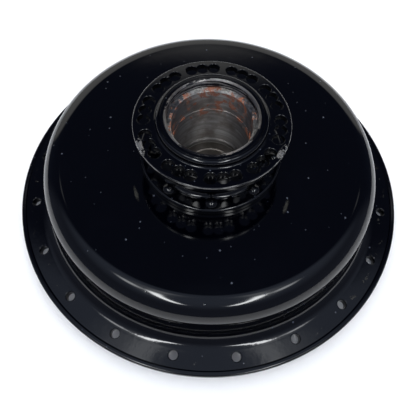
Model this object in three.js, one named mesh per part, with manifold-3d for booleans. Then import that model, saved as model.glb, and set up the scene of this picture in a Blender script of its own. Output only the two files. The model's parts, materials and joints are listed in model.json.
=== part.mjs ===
// Half-width drum-brake wheel hub for a wire-spoked wheel: a drum shell with a riveted nose barrel,
// the drum-side wheel bearing, and the brake plate with its two shoes, cam and lever.
//
// Frame: millimetres, +Z along the wheel axis from the open side of the drum to the nose.
// Z = 0 is the drum's rim, which the hub stands on. An azimuth is measured from -Y towards +X.

import * as THREE from "three";
import { mergeVertices } from "three/addons/utils/BufferGeometryUtils.js";
import Module from "manifold-3d";

const wasm = await Module();
wasm.setup();

// ---------------------------------------------------------------- driving dimensions, mm and degrees
const GAP = 0.3;                  // clearance kept between touching pieces
const TILT = Math.PI / 2;         // turns a solid of revolution from Y up to Z up

const FLANGE = { r: 114.3, z: 12, lip: 2.9, under: 8.5, rise: 1.6, lipRise: 0.9, lipFoot: 0.4, edge: 1.5,
  lipEdge: 0.7 };
const SPOKES = { count: 20, pitchR: 105.3, holeR: 2.45, phase: 9.74 };
const DRUM = { wallR: 94.1, trackR: 88.9, mouthR: 90.6, rimR: 97, fillet: 9, topR: 44,
  topZ: 47.2, crestZ: 48.2, shoulder: 11.5, innerFillet: 5.5, ceilingZ: 43.2, trackZ: 15.6,
  rimTop: 7, mouthDepth: 1.7 };
const NOSE = { tubeR: 26, neckR: 29.7, bottomZ: 11, ringR: 39.2, ringTop: 51.2,
  flangeR: 40.3, flangeTop: 75.9, flangeUnder: 72.4, bossR: 28.6, bossTop: 79.2, underFillet: 6,
  foot: 1.4 };
const BORE = { mouthR: 23.7, threadR: 23.2, threadBottom: 74.8, grooveR: 23.9, grooveTop: 74.4, step: 0.4,
  shoulderZ: 73, seatR: 21, seatBottom: 59,
  tubeR: 20.6, lipR: 19.4, lipTop: 32.3, lipUnder: 29.6, ringR: 22.2, ringZ: 15.85 };
const NOSE_SPOKES = { groups: 10, pitchR: 34.6, holeR: 3.1, phase: 10.5, spread: 10 };
const RIVETS = { count: 9, pitchR: 34.35, shankR: 2, headR: 3.6, headH: 2.6, upsetR: 3, upsetH: 1.8,
  phase: 2.3 };

const RETAINER = { inner: 11, outer: 20.7, bottom: 28.3, top: 29.3 };
const LOCK_RING = { lipR: 13.2, innerR: 16.3, outerR: 21.9, bottom: 11.2, floor: 12.2, top: 15.7 };
const SEAL = { inner: 12.9, outer: 16, bottom: 12.5, top: 15.5 };

const BEARING = { boreR: 10 + GAP, outerR: 21, bottom: 16, top: 28, innerLand: 13.4, outerLand: 17.6,
  pitchR: 15.5, ballR: 3.175, grooveR: 3.525, balls: 9 };
const CAGE = { halfHeight: 4.4, inner: 14.4, outer: 16.6 };
const SLEEVE = { boreR: 7.6, r: 10, collarR: 12.6, bottom: 1.2, collarBottom: 9.9, collarTop: 15.7,
  nutR: 16, nutBottom: 1.8 };
const PLATE = { r: 89.8, bottom: 11.6, top: 14.8, hubBottom: 6.4, hubTop: 9.6, hubR: 30, coneR: 36,
  coneWall: 1.5, bossR: 13, bossTop: 18 };
const ANCHOR = { x: -58, halfWidth: 8, halfSlot: 3, y: 2, length: 18, bottom: 3.5, slotDepth: 2 };

const PIVOT = { y: 62, r: 7, shankR: 6, collarR: 9, collarTop: 19.6, bottom: 3.8, top: 37.5,
  nutR: 11, nutBottom: 5.2 };
const CAM = { y: -62, halfX: 4.5, halfY: 8, bottom: 20, top: 35, spindleR: 6, boreR: 6 + GAP,
  spindleBottom: 1, collarR: 8, collarBottom: 18.6, corner: 0.35 };
const BUSH = { r: 8.7, top: 18.3 };
const CAM_HARDWARE = { washerR: 10, washerBottom: 5.5, washerTop: 6.6, nutR: 9.6, nutBottom: 1.4,
  nutTop: 5.2 };
const LEVER = { length: 60, azimuth: 21.5, bottom: 6.9, top: 10.9, bossR: 11, tipR: 7,
  splay: 80, holeR: 3.2 };
const SHOE = { platformIn: 80, platformOut: 83, bottom: 17.5, top: 37.5, webIn: 58, webBottom: 25,
  webTop: 30, endBottom: 21, endTop: 34, endHalf: 9, endReach: 20, webAngle: 74, platformAngle: 62,
  pivotGap: 1 };
const LINING = { inner: SHOE.platformOut + GAP, outer: 87.5, angle: 55 };
const SPRING = { y: 44, hookX: 44, coilHalf: 26, coilR: 4.5, wireR: 0.9, z: 33, turns: 6, holeR: 2,
  tail: 0.12, hook: 0.35, drop: 9, steps: 62 };
const CHAMFER = 0.6;
const BOSS_EDGE = 1.6;
const PAST = 1;                   // how far a cutter runs past the faces it goes through

const SEGMENTS = { drum: 48, barrel: 28, bearing: 24, small: 16, arc: 14, rivet: 8 };

// ---------------------------------------------------------------- materials
const PAINT = { color: 0x0b0d14, roughness: 0.12, metalness: 0.0 };
const STEEL = { color: 0x8d8c88, roughness: 0.35, metalness: 1.0 };
const DARK_STEEL = { color: 0x55565a, roughness: 0.45, metalness: 1.0 };
const ALLOY = { color: 0xb4b6b8, roughness: 0.4, metalness: 1.0 };
const BRONZE = { color: 0xa9783f, roughness: 0.35, metalness: 1.0 };
const LINING_FINISH = { color: 0x6b5a45, roughness: 0.9, metalness: 0.0 };
const FELT = { color: 0x8c8468, roughness: 1.0, metalness: 0.0 };

// ---------------------------------------------------------------- helpers
const radians = THREE.MathUtils.degToRad;

/** Place on a circle about Z, from an azimuth in degrees. */
function onCircle(radius, azimuth, z = 0) {
  const a = radians(azimuth);
  return new THREE.Vector3(radius * Math.sin(a), -radius * Math.cos(a), z);
}

/** Points of an arc in the (radius, z) plane, angles in degrees, ends included. */
function arc(r, z, radius, from, to, steps) {
  return Array.from({ length: steps + 1 }, (_, i) => {
    const a = radians(from + ((to - from) * i) / steps);
    return [r + radius * Math.cos(a), z + radius * Math.sin(a)];
  });
}

/** Solid of revolution about Z. The profile runs anticlockwise in (radius, z) and is closed here. */
function revolve(profile, segments) {
  const points = profile.map(([r, z]) => new THREE.Vector2(r, z));
  const onAxis = profile[0][0] === 0 && profile.at(-1)[0] === 0;
  if (!onAxis) points.push(points[0].clone());
  return new THREE.LatheGeometry(points, segments).rotateX(TILT);
}

/** Upright cylinder between two heights. */
function cylinder(radius, bottom, top, segments = SEGMENTS.small) {
  const height = top - bottom;
  return new THREE.CylinderGeometry(radius, radius, height, segments)
    .rotateX(TILT).translate(0, 0, bottom + height / 2);
}

/** Box from its lowest and highest corners. */
function box(low, high) {
  const size = high.map((value, i) => value - low[i]);
  return new THREE.BoxGeometry(...size).translate(...low.map((value, i) => value + size[i] / 2));
}

/** Flat outline extruded from one height to another. */
function extrude(shape, bottom, top, curveSegments = 12) {
  return new THREE.ExtrudeGeometry(shape, { depth: top - bottom, bevelEnabled: false, curveSegments })
    .translate(0, 0, bottom);
}

/** Ring sector centred on +X, half angle in degrees. */
function sector(inner, outer, halfAngle, bottom, top, steps) {
  const a = radians(halfAngle);
  const shape = new THREE.Shape();
  shape.absarc(0, 0, outer, -a, a, false);
  shape.absarc(0, 0, inner, a, -a, true);
  return extrude(shape, bottom, top, steps);
}

/** Manifold solid of a closed geometry. */
function solid(geometry) {
  const bare = geometry.clone();
  bare.deleteAttribute("normal");
  bare.deleteAttribute("uv");
  const merged = mergeVertices(bare, 1e-4);
  const triVerts = new Uint32Array(merged.index.array);
  const vertProperties = new Float32Array(merged.attributes.position.array);
  return new wasm.Manifold(new wasm.Mesh({ numProp: 3, vertProperties, triVerts }));
}

/** Geometry of a manifold solid. */
function geometryOf(body) {
  const mesh = body.getMesh();
  const geometry = new THREE.BufferGeometry();
  geometry.setAttribute("position", new THREE.BufferAttribute(mesh.vertProperties, 3));
  geometry.setIndex(new THREE.BufferAttribute(mesh.triVerts, 1));
  geometry.computeVertexNormals();
  return geometry;
}

/** Joins some geometries and cuts others from the result. */
function combine(joined, cut = []) {
  let body = solid(joined[0]);
  for (const geometry of joined.slice(1)) body = body.add(solid(geometry));
  for (const geometry of cut) body = body.subtract(solid(geometry));
  return geometryOf(body);
}

/** Hexagon nut with a plain bore. */
function nut(cornerR, boreR, bottom, top) {
  return combine([cylinder(cornerR, bottom, top, 6)], [cylinder(boreR, bottom - PAST, top + PAST)]);
}

/** Plain ring with a square section. */
function washer({ inner, outer, bottom, top }) {
  return revolve([[inner, bottom], [outer, bottom], [outer, top], [inner, top]], SEGMENTS.bearing);
}

const hub = new THREE.Group();

/** Adds one named piece to the hub. */
function piece(name, geometry, finish) {
  const mesh = new THREE.Mesh(geometry, new THREE.MeshStandardMaterial(finish));
  mesh.name = name;
  hub.add(mesh);
  return mesh;
}

// ---------------------------------------------------------------- drum shell and its spoke flange
function drumShell() {
  const { wallR, fillet, shoulder, crestZ, innerFillet, trackR, ceilingZ } = DRUM;
  const filletFoot = FLANGE.z + FLANGE.rise;
  const lipInner = FLANGE.r - FLANGE.lip;
  const profile = [
    [DRUM.mouthR, 0], [DRUM.rimR - CHAMFER, 0], [DRUM.rimR, CHAMFER], [DRUM.rimR, DRUM.rimTop],
    [DRUM.rimR + FLANGE.edge, FLANGE.under], [FLANGE.r - FLANGE.edge, FLANGE.under],
    [FLANGE.r, FLANGE.under + FLANGE.edge], [FLANGE.r, FLANGE.z],
    [FLANGE.r - FLANGE.lipEdge, FLANGE.z + FLANGE.lipRise],
    [lipInner + FLANGE.lipEdge, FLANGE.z + FLANGE.lipRise], [lipInner, FLANGE.z + FLANGE.lipFoot],
    ...arc(wallR + fillet, filletFoot + fillet, fillet, 270, 180, 4),
    ...arc(wallR - shoulder, crestZ - shoulder, shoulder, 0, 90, 6),
    [DRUM.topR, DRUM.topZ], [NOSE.tubeR + GAP, DRUM.topZ], [NOSE.tubeR + GAP, ceilingZ],
    ...arc(trackR - innerFillet, ceilingZ - innerFillet, innerFillet, 90, 0, 3),
    [trackR, DRUM.trackZ + DRUM.mouthDepth], [DRUM.mouthR, DRUM.trackZ],
  ];
  const cutters = [];
  for (let i = 0; i < SPOKES.count; i += 1) {
    const place = onCircle(SPOKES.pitchR, SPOKES.phase + (i * 360) / SPOKES.count);
    const hole = cylinder(SPOKES.holeR, 0, filletFoot + fillet, SEGMENTS.rivet);
    cutters.push(hole.translate(place.x, place.y, 0));
  }
  for (let i = 0; i < RIVETS.count; i += 1) {
    const place = onCircle(RIVETS.pitchR, RIVETS.phase + (i * 360) / RIVETS.count);
    const hole = cylinder(RIVETS.shankR + GAP, ceilingZ - PAST, DRUM.topZ + PAST, SEGMENTS.rivet);
    cutters.push(hole.translate(place.x, place.y, 0));
  }
  return combine([revolve(profile, SEGMENTS.drum)], cutters);
}

// ---------------------------------------------------------------- nose barrel
function noseBarrel() {
  const { neckR, ringR, ringTop, flangeR, flangeTop, flangeUnder, bossR, bossTop, underFillet } = NOSE;
  const seatZ = DRUM.topZ + GAP;
  const profile = [
    [NOSE.tubeR, NOSE.bottomZ], [NOSE.tubeR, seatZ],
    [ringR, seatZ], [ringR, ringTop - CHAMFER], [ringR - CHAMFER, ringTop], [neckR + NOSE.foot, ringTop],
    [neckR, ringTop + NOSE.foot],
    ...arc(neckR + underFillet, flangeUnder - underFillet, underFillet, 180, 90, 3),
    [flangeR, flangeUnder], [flangeR, flangeTop - CHAMFER], [flangeR - CHAMFER, flangeTop],
    [bossR, flangeTop],
    ...arc(bossR - BOSS_EDGE, bossTop - BOSS_EDGE, BOSS_EDGE, 0, 90, 2),
    [BORE.mouthR, bossTop], [BORE.threadR, bossTop - CHAMFER], [BORE.threadR, BORE.threadBottom],
    [BORE.grooveR, BORE.grooveTop], [BORE.grooveR, BORE.shoulderZ],
    [BORE.seatR + BORE.step, BORE.shoulderZ], [BORE.seatR, BORE.shoulderZ - BORE.step],
    [BORE.seatR, BORE.seatBottom], [BORE.tubeR, BORE.seatBottom - BORE.step],
    [BORE.tubeR, BORE.lipTop + BORE.tubeR - BORE.lipR], [BORE.lipR, BORE.lipTop], [BORE.lipR, BORE.lipUnder],
    [BEARING.outerR + GAP, BORE.lipUnder], [BEARING.outerR + GAP, BORE.ringZ],
    [BORE.ringR, BORE.ringZ], [BORE.ringR, NOSE.bottomZ],
  ];
  const cutters = [];
  for (let i = 0; i < NOSE_SPOKES.groups; i += 1) {
    for (const side of [-1, 0, 1]) {
      const azimuth = NOSE_SPOKES.phase + (i * 360) / NOSE_SPOKES.groups + side * NOSE_SPOKES.spread;
      const place = onCircle(NOSE_SPOKES.pitchR, azimuth);
      const hole = cylinder(NOSE_SPOKES.holeR, flangeUnder - underFillet, flangeTop + PAST, SEGMENTS.rivet);
      cutters.push(hole.translate(place.x, place.y, 0));
    }
  }
  for (let i = 0; i < RIVETS.count; i += 1) {
    const place = onCircle(RIVETS.pitchR, RIVETS.phase + (i * 360) / RIVETS.count);
    const hole = cylinder(RIVETS.shankR + GAP, seatZ - PAST, ringTop + PAST, SEGMENTS.rivet);
    cutters.push(hole.translate(place.x, place.y, 0));
  }
  return combine([revolve(profile, SEGMENTS.barrel)], cutters);
}

/** Round-headed rivet through the barrel's ring and the drum's top, upset underneath. */
function rivet() {
  const under = DRUM.ceilingZ - GAP;
  const over = NOSE.ringTop + GAP;
  const { shankR, headR, headH, upsetR, upsetH } = RIVETS;
  const profile = [
    [0, under - upsetH], [upsetR, under - upsetH * 0.7], [upsetR, under], [shankR, under],
    [shankR, over], [headR, over], [headR * 0.7, over + headH * 0.75], [0, over + headH],
  ];
  return revolve(profile, SEGMENTS.rivet);
}

// ---------------------------------------------------------------- drum-side wheel bearing
const bearingMid = (BEARING.bottom + BEARING.top) / 2;
const { grooveR } = BEARING;

/** Race with a ball groove. side is 1 for the inner race, -1 for the outer one. */
function race(side) {
  const { pitchR, bottom, top, boreR, outerR, innerLand, outerLand } = BEARING;
  const land = side > 0 ? innerLand : outerLand;
  const reach = Math.acos(Math.abs(pitchR - land) / grooveR);
  const spread = THREE.MathUtils.radToDeg(reach);
  const groove = side > 0
    ? arc(pitchR, bearingMid, grooveR, 180 + spread, 180 - spread, 4)
    : arc(pitchR, bearingMid, grooveR, spread, -spread, 4);
  const profile = side > 0
    ? [[boreR, bottom], [land, bottom], ...groove, [land, top], [boreR, top]]
    : [[land, top], ...groove, [land, bottom], [outerR, bottom], [outerR, top]];
  return revolve(profile, SEGMENTS.bearing);
}

function cage() {
  const low = bearingMid - CAGE.halfHeight;
  const high = bearingMid + CAGE.halfHeight;
  const ring = [[CAGE.inner, low], [CAGE.outer, low], [CAGE.outer, high], [CAGE.inner, high]];
  const pockets = [];
  for (let i = 0; i < BEARING.balls; i += 1) {
    const pocket = new THREE.CylinderGeometry(grooveR, grooveR, 2 * BEARING.ballR, SEGMENTS.rivet);
    const azimuth = radians((i * 360) / BEARING.balls);
    pockets.push(pocket.translate(0, -BEARING.pitchR, 0).rotateZ(azimuth).translate(0, 0, bearingMid));
  }
  return combine([revolve(ring, SEGMENTS.bearing)], pockets);
}

/** Threaded ring that holds the bearing, with a thin lip over the felt seal. */
function lockRing() {
  const { lipR, innerR, outerR, bottom, floor, top } = LOCK_RING;
  const profile = [[lipR, bottom], [outerR, bottom], [outerR, top], [innerR, top], [innerR, floor],
    [lipR, floor]];
  return revolve(profile, SEGMENTS.bearing);
}

// ---------------------------------------------------------------- brake plate
/** Hollow sleeve through the plate and the bearing, with a collar between them. */
function spindleSleeve() {
  const { boreR, r, collarR, bottom, collarBottom, collarTop } = SLEEVE;
  const profile = [[boreR, bottom], [r, bottom], [r, collarBottom], [collarR, collarBottom],
    [collarR, collarTop], [r, collarTop], [r, BEARING.top], [boreR, BEARING.top]];
  return revolve(profile, SEGMENTS.bearing);
}

function brakePlate() {
  const { r, bottom, top, hubBottom, hubTop, hubR, coneR, coneWall } = PLATE;
  const profile = [
    [SLEEVE.r + GAP, hubBottom], [hubR + coneWall, hubBottom], [coneR + coneWall, bottom],
    [r - CHAMFER, bottom], [r, bottom + CHAMFER], [r, top - CHAMFER], [r - CHAMFER, top],
    [coneR, top], [hubR, hubTop], [SLEEVE.r + GAP, hubTop],
  ];
  const { x, y, halfWidth, halfSlot, length, slotDepth } = ANCHOR;
  const bushHole = cylinder(BUSH.r + GAP, bottom - PAST, BUSH.top + PAST).translate(0, CAM.y, 0);
  const pinHole = cylinder(PIVOT.shankR + GAP, bottom - PAST, top + PAST).translate(0, PIVOT.y, 0);
  const camBoss = cylinder(PLATE.bossR, top - PAST, PLATE.bossTop).translate(0, CAM.y, 0);
  const anchorLug = box([x - halfWidth, y, ANCHOR.bottom], [x + halfWidth, y + length, bottom + PAST]);
  const anchorSlot = box([x - halfSlot, y - PAST, ANCHOR.bottom - PAST],
    [x + halfSlot, y + length + PAST, bottom - slotDepth]);
  return combine([revolve(profile, SEGMENTS.drum), camBoss, anchorLug], [bushHole, pinHole, anchorSlot]);
}

function pivotPin() {
  const profile = [
    [0, PIVOT.bottom], [PIVOT.shankR - CHAMFER, PIVOT.bottom], [PIVOT.shankR, PIVOT.bottom + CHAMFER],
    [PIVOT.shankR, PLATE.top + GAP], [PIVOT.collarR, PLATE.top + GAP],
    [PIVOT.collarR, PIVOT.collarTop], [PIVOT.r, PIVOT.collarTop], [PIVOT.r, PIVOT.top - CHAMFER],
    [PIVOT.r - CHAMFER, PIVOT.top], [0, PIVOT.top],
  ];
  return revolve(profile, SEGMENTS.small).translate(0, PIVOT.y, 0);
}

// ---------------------------------------------------------------- shoes, linings and springs
/** Right-hand shoe: T section rim and web, a flat pad for the cam and a half cup on the pivot pin. */
function shoe() {
  const { platformIn, platformOut, platformAngle, webIn, webAngle, webBottom, webTop } = SHOE;
  const { endBottom, endTop, endHalf, endReach, pivotGap } = SHOE;
  const rim = sector(platformIn, platformOut, platformAngle, SHOE.bottom, SHOE.top, SEGMENTS.arc);
  const web = sector(webIn, platformIn + PAST, webAngle, webBottom, webTop, SEGMENTS.arc);
  const end = (x, y) => box([x, y - endHalf, endBottom], [endReach, y + endHalf, endTop]);
  const camEnd = end(CAM.halfX + GAP, CAM.y);
  const pivotEnd = end(pivotGap, PIVOT.y);
  const cup = cylinder(PIVOT.r + GAP, endBottom - PAST, endTop + PAST).translate(0, PIVOT.y, 0);
  const holes = [SPRING.y, -SPRING.y].map((y) =>
    cylinder(SPRING.holeR, webBottom - PAST, webTop + PAST, SEGMENTS.rivet).translate(SPRING.hookX, y, 0));
  return combine([web, rim, camEnd, pivotEnd], [cup, ...holes]);
}

function lining() {
  return sector(LINING.inner, LINING.outer, LINING.angle, SHOE.bottom, SHOE.top, SEGMENTS.arc);
}

/** Coil with a straight tail at each end that turns down into its hole in the shoe's web. */
class SpringCurve extends THREE.Curve {
  getPoint(t, target = new THREE.Vector3()) {
    const { hookX, coilHalf, coilR, turns, tail, hook, drop } = SPRING;
    if (t < tail || t > 1 - tail) {
      const side = t < tail ? -1 : 1;
      const s = (t < tail ? t : 1 - t) / tail;
      if (s < hook) return target.set(side * hookX, 0, -drop + (drop * s) / hook);
      const along = (s - hook) / (1 - hook);
      return target.set(side * (hookX + (coilHalf - hookX) * along), 0, coilR * along * along);
    }
    const s = (t - tail) / (1 - 2 * tail);
    const a = s * turns * 2 * Math.PI;
    return target.set(-coilHalf + 2 * coilHalf * s, coilR * Math.sin(a), coilR * Math.cos(a));
  }
}

function returnSpring(y) {
  const section = new THREE.Shape();
  section.absarc(0, 0, SPRING.wireR, 0, 2 * Math.PI, false);
  const extrudePath = new SpringCurve();
  const options = { steps: SPRING.steps, curveSegments: 2, bevelEnabled: false, extrudePath };
  return new THREE.ExtrudeGeometry(section, options).translate(0, y, SPRING.z);
}

// ---------------------------------------------------------------- cam, spindle and lever
function brakeCam() {
  const { halfX, halfY, bottom, top, spindleR, spindleBottom, collarR, collarBottom, corner } = CAM;
  const collarTop = bottom + corner;
  const spindle = [
    [0, spindleBottom], [spindleR - CHAMFER, spindleBottom], [spindleR, spindleBottom + CHAMFER],
    [spindleR, collarBottom], [collarR, collarBottom], [collarR, collarTop], [0, collarTop],
  ];
  const head = box([-halfX, -halfY, bottom], [halfX, halfY, top]);
  const trim = cylinder(Math.hypot(halfX, halfY) - corner, bottom - PAST, top + PAST, 2 * SEGMENTS.small);
  const rounded = solid(head).intersect(solid(trim));
  return geometryOf(solid(revolve(spindle, SEGMENTS.small)).add(rounded)).translate(0, CAM.y, 0);
}

function camLever() {
  const { length, bottom, top, bossR, tipR, splay, holeR, azimuth } = LEVER;
  const outline = new THREE.Shape();
  outline.absarc(0, 0, bossR, radians(splay), radians(360 - splay), false);
  outline.absarc(length, 0, tipR, radians(-splay), radians(splay), false);
  const eye = cylinder(holeR, bottom - PAST, top + PAST, SEGMENTS.rivet).translate(length, 0, 0);
  const arm = combine([extrude(outline, bottom, top, SEGMENTS.rivet)],
    [cylinder(CAM.boreR, bottom - PAST, top + PAST), eye]);
  return arm.rotateZ(radians(azimuth)).translate(0, CAM.y, 0);
}

// ---------------------------------------------------------------- assembly
piece("drum_shell", drumShell(), PAINT);
piece("nose_barrel", noseBarrel(), PAINT);
for (let i = 0; i < RIVETS.count; i += 1) {
  const mesh = piece(`barrel_rivet_${i + 1}`, rivet(), PAINT);
  mesh.position.copy(onCircle(RIVETS.pitchR, RIVETS.phase + (i * 360) / RIVETS.count));
}

piece("grease_retainer", washer(RETAINER), STEEL);
piece("bearing_outer_race", race(-1), STEEL);
piece("bearing_inner_race", race(1), STEEL);
piece("bearing_cage", cage(), BRONZE);
for (let i = 0; i < BEARING.balls; i += 1) {
  const ball = piece(`bearing_ball_${i + 1}`, new THREE.SphereGeometry(BEARING.ballR, 8, 6), STEEL);
  ball.position.copy(onCircle(BEARING.pitchR, (i * 360) / BEARING.balls, bearingMid));
}
piece("bearing_lock_ring", lockRing(), DARK_STEEL);
piece("felt_seal", washer(SEAL), FELT);

piece("brake_plate", brakePlate(), ALLOY);
piece("spindle_sleeve", spindleSleeve(), STEEL);
piece("sleeve_nut", nut(SLEEVE.nutR, SLEEVE.r + GAP, SLEEVE.nutBottom, PLATE.hubBottom - GAP), DARK_STEEL);
piece("shoe_pivot_pin", pivotPin(), STEEL);
piece("pivot_nut", nut(PIVOT.nutR, PIVOT.shankR + GAP, PIVOT.nutBottom, PLATE.bottom - GAP)
  .translate(0, PIVOT.y, 0), DARK_STEEL);
const bushProfile = { inner: CAM.boreR, outer: BUSH.r, bottom: PLATE.bottom - GAP, top: BUSH.top };
piece("cam_bush", washer(bushProfile).translate(0, CAM.y, 0), BRONZE);

piece("leading_shoe", shoe(), ALLOY);
piece("leading_lining", lining(), LINING_FINISH);
// The trailing shoe is the same casting as the leading one, turned over about the Y axis.
const turnedOver = SHOE.bottom + SHOE.top;
piece("trailing_shoe", shoe().rotateY(Math.PI).translate(0, 0, turnedOver), ALLOY);
piece("trailing_lining", lining().rotateY(Math.PI).translate(0, 0, turnedOver), LINING_FINISH);
piece("cam_end_spring", returnSpring(-SPRING.y), DARK_STEEL);
piece("pivot_end_spring", returnSpring(SPRING.y), DARK_STEEL);

piece("brake_cam", brakeCam(), STEEL);
piece("cam_lever", camLever(), PAINT);
const { washerR, washerBottom, washerTop, nutR, nutBottom, nutTop } = CAM_HARDWARE;
const washerProfile = { inner: CAM.boreR, outer: washerR, bottom: washerBottom, top: washerTop };
piece("cam_washer", washer(washerProfile).translate(0, CAM.y, 0), STEEL);
piece("cam_nut", nut(nutR, CAM.boreR, nutBottom, nutTop).translate(0, CAM.y, 0), DARK_STEEL);

export default hub;
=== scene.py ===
"""Looks of a half-width drum-brake wheel hub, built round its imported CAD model.

Lengths in the tables are millimetres; every mesh is made in metres, in the model's own frame: +Z from
the open side of the drum to the nose, z = 0 at the rim that the hub stands on, azimuths from -Y towards +X.
"""

import json
import math

import bmesh
import bpy
import numpy as np
from mathutils import Matrix, Vector


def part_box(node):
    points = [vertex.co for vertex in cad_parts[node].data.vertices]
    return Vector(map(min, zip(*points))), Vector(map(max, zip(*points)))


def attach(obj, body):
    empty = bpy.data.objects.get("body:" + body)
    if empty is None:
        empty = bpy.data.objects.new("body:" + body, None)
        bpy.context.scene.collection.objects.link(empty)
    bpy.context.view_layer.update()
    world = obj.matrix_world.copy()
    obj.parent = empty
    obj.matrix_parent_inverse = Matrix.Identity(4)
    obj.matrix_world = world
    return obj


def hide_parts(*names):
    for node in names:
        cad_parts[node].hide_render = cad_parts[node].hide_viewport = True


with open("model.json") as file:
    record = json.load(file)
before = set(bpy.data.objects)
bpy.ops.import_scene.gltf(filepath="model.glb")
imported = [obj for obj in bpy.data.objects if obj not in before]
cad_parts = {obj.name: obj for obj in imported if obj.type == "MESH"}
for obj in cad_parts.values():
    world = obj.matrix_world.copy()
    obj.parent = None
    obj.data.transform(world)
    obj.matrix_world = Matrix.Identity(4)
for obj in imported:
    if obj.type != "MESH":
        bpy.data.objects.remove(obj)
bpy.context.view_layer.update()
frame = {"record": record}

MM = 0.001

# ------------------------------------------------------------------ driving sizes, mm and degrees


def cad_size(node):
    """Half width, lowest and highest z of a CAD node, in mm."""
    low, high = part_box(node)
    return high.x / MM, low.z / MM, high.z / MM


FLANGE_R, RIM_Z, CREST_Z = cad_size("drum_shell")
NOSE_R, BARREL_END_Z, NOSE_Z = cad_size("nose_barrel")
BODY_OF = {node: body for body, nodes in frame["record"]["behaviour"]["bodies"].items() for node in nodes}

FLANGE_Z = 12.0            # widest rim of the spoke flange
WALL_R = 94.1              # outside of the drum
TRACK_R = 88.9             # brake track
MOUTH_R = 90.6
SHOULDER = 11.5            # radius of the round shoulder
FILLET = 9.0               # between the drum's wall and its flange
TOP_Z = 47.2               # middle of the slightly dished top
CEILING_Z = 43.2
SPOKES = dict(count=20, pitch_r=105.3, hole_r=2.45, phase=9.74)

RING = dict(r=39.2, bottom=47.2, top=51.2)
NECK_R = 29.7
NOSE_FLANGE = dict(bottom=72.4, top=75.9)
BOSS_R = 28.6
BORE_SKIN_R = 24.4         # bare metal inside this radius, paint outside it
MOUTH = dict(r=23.7, thread_r=23.15, groove_r=23.9, thread_bottom=74.9, shoulder_z=73.0)
SEAT = dict(r=21.0, bottom=59.0, tube_r=20.6, lip_r=19.4, lip_top=32.3, lip_under=29.6)
NOSE_SPOKES = dict(groups=10, pitch_r=34.6, hole_r=3.1, phase=10.5, spread=10.0)
RIVETS = dict(count=9, pitch_r=34.35, phase=2.3, head_r=3.5, head_h=2.5)

CAM_Y = -62.0
PIVOT_Y = 62.0
LIP_WIDTH = 2.9            # raised lip round the spoke flange
FOOT_RISE = 1.6            # of the flange from its rim to the fillet
FLANGE_UNDER_Z = 8.5
BARREL_R = 26.0
BALLS = dict(count=9, pitch_r=15.5, r=3.175, middle=22.0)
SHOE = dict(inner=80.0, outer=83.0, web_inner=58.0, bottom=17.5, top=37.5, end_half=9.0, middle=27.5)
LINING_SIZE = dict(inner=83.15, outer=87.5, half_angle=55, rows=(22.5, 32.5), hole_r=85.5)
SPRING = dict(y=44.0, hook_x=44.0, z=33.0, cam_eye=3.4, pivot_eye=2.2)
CAM = dict(half_x=4.5, half_y=8.0, bottom=20.0, top=35.0, corner_r=8.83)
LEVER = dict(length=60.0, turn=21.5, bottom=7.0, top=10.8, boss_r=11.0, tip_r=7.0, eye_r=3.2)

DRUM_COLUMNS = 360
BARREL_COLUMNS = 240
SMALL_COLUMNS = 64
CREASE = math.radians(14)

# ------------------------------------------------------------------ profiles and meshes


def rounded(corners, closed=True, step=9.0):
    """Profile through corners (r, z, fillet), each fillet an arc with a short straight run on each side."""
    count = len(corners)
    out = []
    for i, corner in enumerate(corners):
        here = np.array(corner[:2], float)
        fillet = corner[2] if len(corner) > 2 else 0.0
        if fillet <= 0 or (not closed and i in (0, count - 1)):
            out.append(tuple(here))
            continue
        back = np.array(corners[i - 1][:2], float) - here
        ahead = np.array(corners[(i + 1) % count][:2], float) - here
        a, b = np.linalg.norm(back), np.linalg.norm(ahead)
        back, ahead = back / a, ahead / b
        turn = math.acos(np.clip(-back @ ahead, -1, 1))
        reach = fillet * math.tan(turn / 2)
        hold = min(0.3, 0.25 * (min(a, b) - reach))
        centre = here + (back + ahead) / np.linalg.norm(back + ahead) * fillet / math.cos(turn / 2)
        start = here + back * reach
        steps = max(2, math.ceil(math.degrees(turn) / step))
        side = np.sign(back[0] * ahead[1] - back[1] * ahead[0])
        if hold > 0.02:
            out.append(tuple(here + back * (reach + hold)))
        for k in range(steps + 1):
            angle = side * turn * k / steps * -1
            c, s = math.cos(angle), math.sin(angle)
            spoke = start - centre
            out.append(tuple(centre + np.array([c * spoke[0] - s * spoke[1], s * spoke[0] + c * spoke[1]])))
        if hold > 0.02:
            out.append(tuple(here + ahead * (reach + hold)))
    return out


def mesh_object(name, verts, faces):
    """Scene object from vertices in metres."""
    mesh = bpy.data.meshes.new(name)
    mesh.from_pydata([tuple(v) for v in verts], [], faces)
    mesh.validate()
    obj = bpy.data.objects.new(name, mesh)
    bpy.context.scene.collection.objects.link(obj)
    return obj


def lathe(name, profile, columns, shape=None, phase=0.0):
    """Solid of revolution about Z from an anticlockwise (r, z) profile in mm.

    shape(r, z, azimuth) may bend it.
    """
    rows = np.array(profile, float)
    azimuth = math.radians(phase) + np.arange(columns) * 2 * math.pi / columns
    r = np.repeat(rows[:, :1], columns, axis=1)
    z = np.repeat(rows[:, 1:], columns, axis=1)
    if shape:
        r, z = shape(r, z, azimuth[None, :])
    verts = np.stack([r * np.sin(azimuth), -r * np.cos(azimuth), z], axis=-1).reshape(-1, 3) * MM
    faces = []
    count = len(rows)
    on_axis = rows[0, 0] == 0 and rows[-1, 0] == 0
    for i in range(count - 1 if on_axis else count):
        j = (i + 1) % count
        for c in range(columns):
            d = (c + 1) % columns
            quad = (i * columns + c, i * columns + d, j * columns + d, j * columns + c)
            faces.append(quad)
    obj = mesh_object(name, verts, faces)
    edit = bmesh.new()
    edit.from_mesh(obj.data)
    bmesh.ops.remove_doubles(edit, verts=edit.verts, dist=1e-7)
    bmesh.ops.recalc_face_normals(edit, faces=edit.faces)
    edit.to_mesh(obj.data)
    edit.free()
    return obj


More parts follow.
